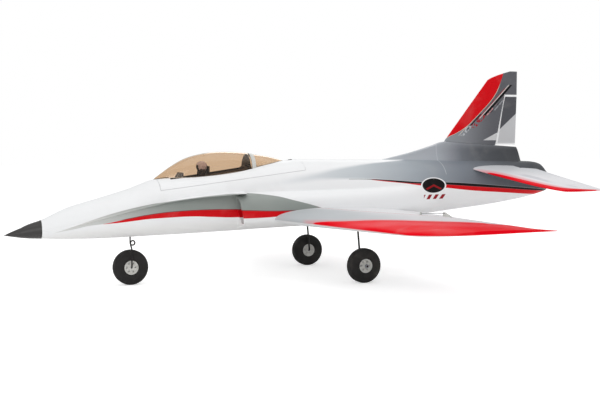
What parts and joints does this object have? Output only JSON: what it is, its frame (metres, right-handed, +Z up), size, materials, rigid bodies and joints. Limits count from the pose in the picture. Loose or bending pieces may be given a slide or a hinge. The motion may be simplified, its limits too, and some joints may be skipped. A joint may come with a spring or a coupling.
{
  "type": "rc jet plane",
  "caption": "Ducted-fan foam model jet with cheek intakes, tinted lift-off canopy, hinged control surfaces driven by servos, and a steerable wire tricycle undercarriage.",
  "frame": {"origin": "centre of the bounding box, on the ground plane that the three wheels stand on", "axes": "+X towards the tail, nose towards -X, right wing towards +Y, +Z up"},
  "size_m": [1.217, 1.029, 0.443],
  "materials": {
    "white_foam": "satin",
    "silver_foam": "satin",
    "grey_foam": "satin",
    "black_plastic": "satin",
    "dark_plastic": "matte",
    "white_plastic": "satin",
    "amber_canopy": "polished",
    "tyre_foam": "matte",
    "black_wire": "satin",
    "steel_wire": "satin",
    "carbon": "satin",
    "plywood": "matte",
    "battery_cells": "satin",
    "strap_web": "matte",
    "pipe_plastic": "satin",
    "motor_metal": "satin",
    "pilot_paint": "matte"
  },
  "bodies": {
    "airframe": {"fuselage": "white_foam", "nose_cone": "black_plastic", "wing_left": "silver_foam", "wing_right": "silver_foam", "wing_spar": "carbon", "fin": "grey_foam", "stab_left": "silver_foam", "stab_right": "silver_foam", "fan_shroud": "dark_plastic", "fan_motor": "motor_metal", "thrust_tube": "pipe_plastic", "tail_pipe_ring": "pipe_plastic", "battery": "battery_cells", "battery_tray": "plywood", "battery_strap": "strap_web", "speed_controller": "black_plastic", "receiver": "black_plastic", "aileron_servo_left": "dark_plastic", "aileron_servo_right": "dark_plastic", "rudder_servo": "dark_plastic", "elevator_servo": "dark_plastic", "steering_servo": "dark_plastic", "nose_leg_mount": "dark_plastic", "main_leg_mount_left": "dark_plastic", "main_leg_mount_right": "dark_plastic", "main_leg_left": "black_wire", "main_leg_right": "black_wire"},
    "hatch": {"canopy_hatch": "white_foam", "canopy_glass": "amber_canopy", "canopy_band": "white_plastic", "canopy_tail_glass": "amber_canopy", "cockpit_tub": "dark_plastic", "pilot_bust": "pilot_paint", "instrument_panel": "dark_plastic"},
    "latch": {"hatch_latch": "black_plastic"},
    "left_aileron": {"aileron_left": "silver_foam"},
    "right_aileron": {"aileron_right": "silver_foam"},
    "left_aileron_arm": {"aileron_arm_left": "white_plastic"},
    "right_aileron_arm": {"aileron_arm_right": "white_plastic"},
    "left_aileron_pushrod": {"aileron_pushrod_left": "steel_wire"},
    "right_aileron_pushrod": {"aileron_pushrod_right": "steel_wire"},
    "rudder_surface": {"rudder": "grey_foam"},
    "rudder_servo_arm": {"rudder_arm": "white_plastic"},
    "rudder_link": {"rudder_pushrod": "steel_wire"},
    "nose_steering": {"nose_leg": "black_wire", "steering_arm": "white_plastic"},
    "steering_servo_lever": {"steering_servo_arm": "white_plastic"},
    "steering_link": {"steering_pushrod": "steel_wire"},
    "left_elevator": {"elevator_left": "silver_foam"},
    "right_elevator": {"elevator_right": "silver_foam"},
    "joiner": {"elevator_joiner": "steel_wire"},
    "elevator_servo_lever": {"elevator_arm": "white_plastic"},
    "elevator_link": {"elevator_pushrod": "steel_wire"},
    "rotor": {"fan_rotor": "black_plastic"},
    "nose_wheel": {"nose_tyre": "tyre_foam", "nose_hub": "white_plastic"},
    "left_main_wheel": {"main_left_tyre": "tyre_foam", "main_left_hub": "white_plastic"},
    "right_main_wheel": {"main_right_tyre": "tyre_foam", "main_right_hub": "white_plastic"}
  },
  "joints": [
    {"name": "canopy_lift", "type": "slide", "parent": "airframe", "child": "hatch", "axis": [0, 0, 1], "range_m": [0, 0.08]},
    {"name": "latch_slide", "type": "slide", "parent": "hatch", "child": "latch", "axis": [0.9929, 0, 0.1192], "range_m": [0, 0.005], "stiffness_N_per_m": 60, "springref_m": -0.002},
    {"name": "left_aileron_hinge", "type": "hinge", "parent": "airframe", "child": "left_aileron", "pos_m": [0.2035, -0.34, 0.131], "axis": [0, 1, 0], "range_deg": [-22, 22]},
    {"name": "right_aileron_hinge", "type": "hinge", "parent": "airframe", "child": "right_aileron", "pos_m": [0.2035, 0.34, 0.131], "axis": [0, 1, 0], "range_deg": [-22, 22]},
    {"name": "left_aileron_servo_turn", "type": "hinge", "parent": "airframe", "child": "left_aileron_arm", "pos_m": [0.1515, -0.2424, 0.1325], "axis": [0, 1, 0], "range_deg": [-25, 25]},
    {"name": "left_aileron_pushrod_travel", "type": "slide", "parent": "airframe", "child": "left_aileron_pushrod", "axis": [1, 0, 0], "range_m": [-0.006, 0.006]},
    {"name": "right_aileron_servo_turn", "type": "hinge", "parent": "airframe", "child": "right_aileron_arm", "pos_m": [0.1515, 0.2424, 0.1325], "axis": [0, 1, 0], "range_deg": [-25, 25]},
    {"name": "right_aileron_pushrod_travel", "type": "slide", "parent": "airframe", "child": "right_aileron_pushrod", "axis": [1, 0, 0], "range_m": [-0.006, 0.006]},
    {"name": "rudder_hinge", "type": "hinge", "parent": "airframe", "child": "rudder_surface", "pos_m": [0.48, 0, 0.27604], "axis": [0.2004, 0, 0.9797], "range_deg": [-25, 25]},
    {"name": "rudder_servo_turn", "type": "hinge", "parent": "airframe", "child": "rudder_servo_arm", "pos_m": [0.4315, 0.002, 0.3125], "axis": [0, 0, 1], "range_deg": [-30, 30]},
    {"name": "rudder_pushrod_travel", "type": "slide", "parent": "airframe", "child": "rudder_link", "axis": [0.9949, 0, -0.1011], "range_m": [-0.007, 0.007]},
    {"name": "nose_steering_turn", "type": "hinge", "parent": "airframe", "child": "nose_steering", "pos_m": [-0.3675, 0, 0.11], "axis": [0, 0, 1], "range_deg": [-25, 25]},
    {"name": "steering_servo_turn", "type": "hinge", "parent": "airframe", "child": "steering_servo_lever", "pos_m": [-0.3185, 0, 0.1254], "axis": [0, 0, 1], "range_deg": [-25, 25]},
    {"name": "steering_pushrod_travel", "type": "slide", "parent": "airframe", "child": "steering_link", "axis": [1, 0, 0], "range_m": [-0.006, 0.006]},
    {"name": "left_elevator_hinge", "type": "hinge", "parent": "airframe", "child": "left_elevator", "pos_m": [0.51688, -0.049, 0.22018], "axis": [-0.2429, 0.9489, 0.2017], "range_deg": [-20, 20]},
    {"name": "right_elevator_hinge", "type": "hinge", "parent": "airframe", "child": "right_elevator", "pos_m": [0.51688, 0.049, 0.22018], "axis": [0.2429, 0.9489, -0.2017], "range_deg": [-20, 20]},
    {"name": "elevator_joiner_turn", "type": "hinge", "parent": "airframe", "child": "joiner", "pos_m": [0.5165, 0, 0.2205], "axis": [0, 1, 0], "range_deg": [-20, 20]},
    {"name": "elevator_servo_turn", "type": "hinge", "parent": "airframe", "child": "elevator_servo_lever", "pos_m": [0.4365, 0.0083, 0.2242], "axis": [0, 1, 0], "range_deg": [-20, 20]},
    {"name": "elevator_pushrod_travel", "type": "slide", "parent": "airframe", "child": "elevator_link", "axis": [1, 0, 0], "range_m": [-0.004, 0.004]},
    {"name": "fan_spin", "type": "hinge", "parent": "airframe", "child": "rotor", "pos_m": [0.1715, 0, 0.179], "axis": [1, 0, 0], "continuous": true},
    {"name": "nose_wheel_spin", "type": "hinge", "parent": "nose_steering", "child": "nose_wheel", "pos_m": [-0.3675, 0, 0.035], "axis": [0, 1, 0], "continuous": true},
    {"name": "left_main_wheel_spin", "type": "hinge", "parent": "airframe", "child": "left_main_wheel", "pos_m": [0.0745, -0.15, 0.035], "axis": [0, 1, 0], "continuous": true},
    {"name": "right_main_wheel_spin", "type": "hinge", "parent": "airframe", "child": "right_main_wheel", "pos_m": [0.0745, 0.15, 0.035], "axis": [0, 1, 0], "continuous": true}
  ],
  "couplings": [
    {"joint": "right_aileron_hinge", "follows": "left_aileron_hinge", "ratio": -1},
    {"joint": "left_aileron_servo_turn", "follows": "left_aileron_hinge", "ratio": 1},
    {"joint": "left_aileron_pushrod_travel", "follows": "left_aileron_hinge", "m_per_rad": 0.0125},
    {"joint": "right_aileron_servo_turn", "follows": "left_aileron_hinge", "ratio": -1},
    {"joint": "right_aileron_pushrod_travel", "follows": "left_aileron_hinge", "m_per_rad": -0.0125},
    {"joint": "rudder_servo_turn", "follows": "rudder_hinge", "ratio": 1.137},
    {"joint": "rudder_pushrod_travel", "follows": "rudder_hinge", "m_per_rad": -0.0141},
    {"joint": "nose_steering_turn", "follows": "rudder_hinge", "ratio": -1},
    {"joint": "steering_servo_turn", "follows": "rudder_hinge", "ratio": -1},
    {"joint": "steering_pushrod_travel", "follows": "rudder_hinge", "m_per_rad": 0.0125},
    {"joint": "right_elevator_hinge", "follows": "left_elevator_hinge", "ratio": 1},
    {"joint": "elevator_joiner_turn", "follows": "left_elevator_hinge", "ratio": 1},
    {"joint": "elevator_servo_turn", "follows": "left_elevator_hinge", "ratio": 1},
    {"joint": "elevator_pushrod_travel", "follows": "left_elevator_hinge", "m_per_rad": 0.01}
  ]
}
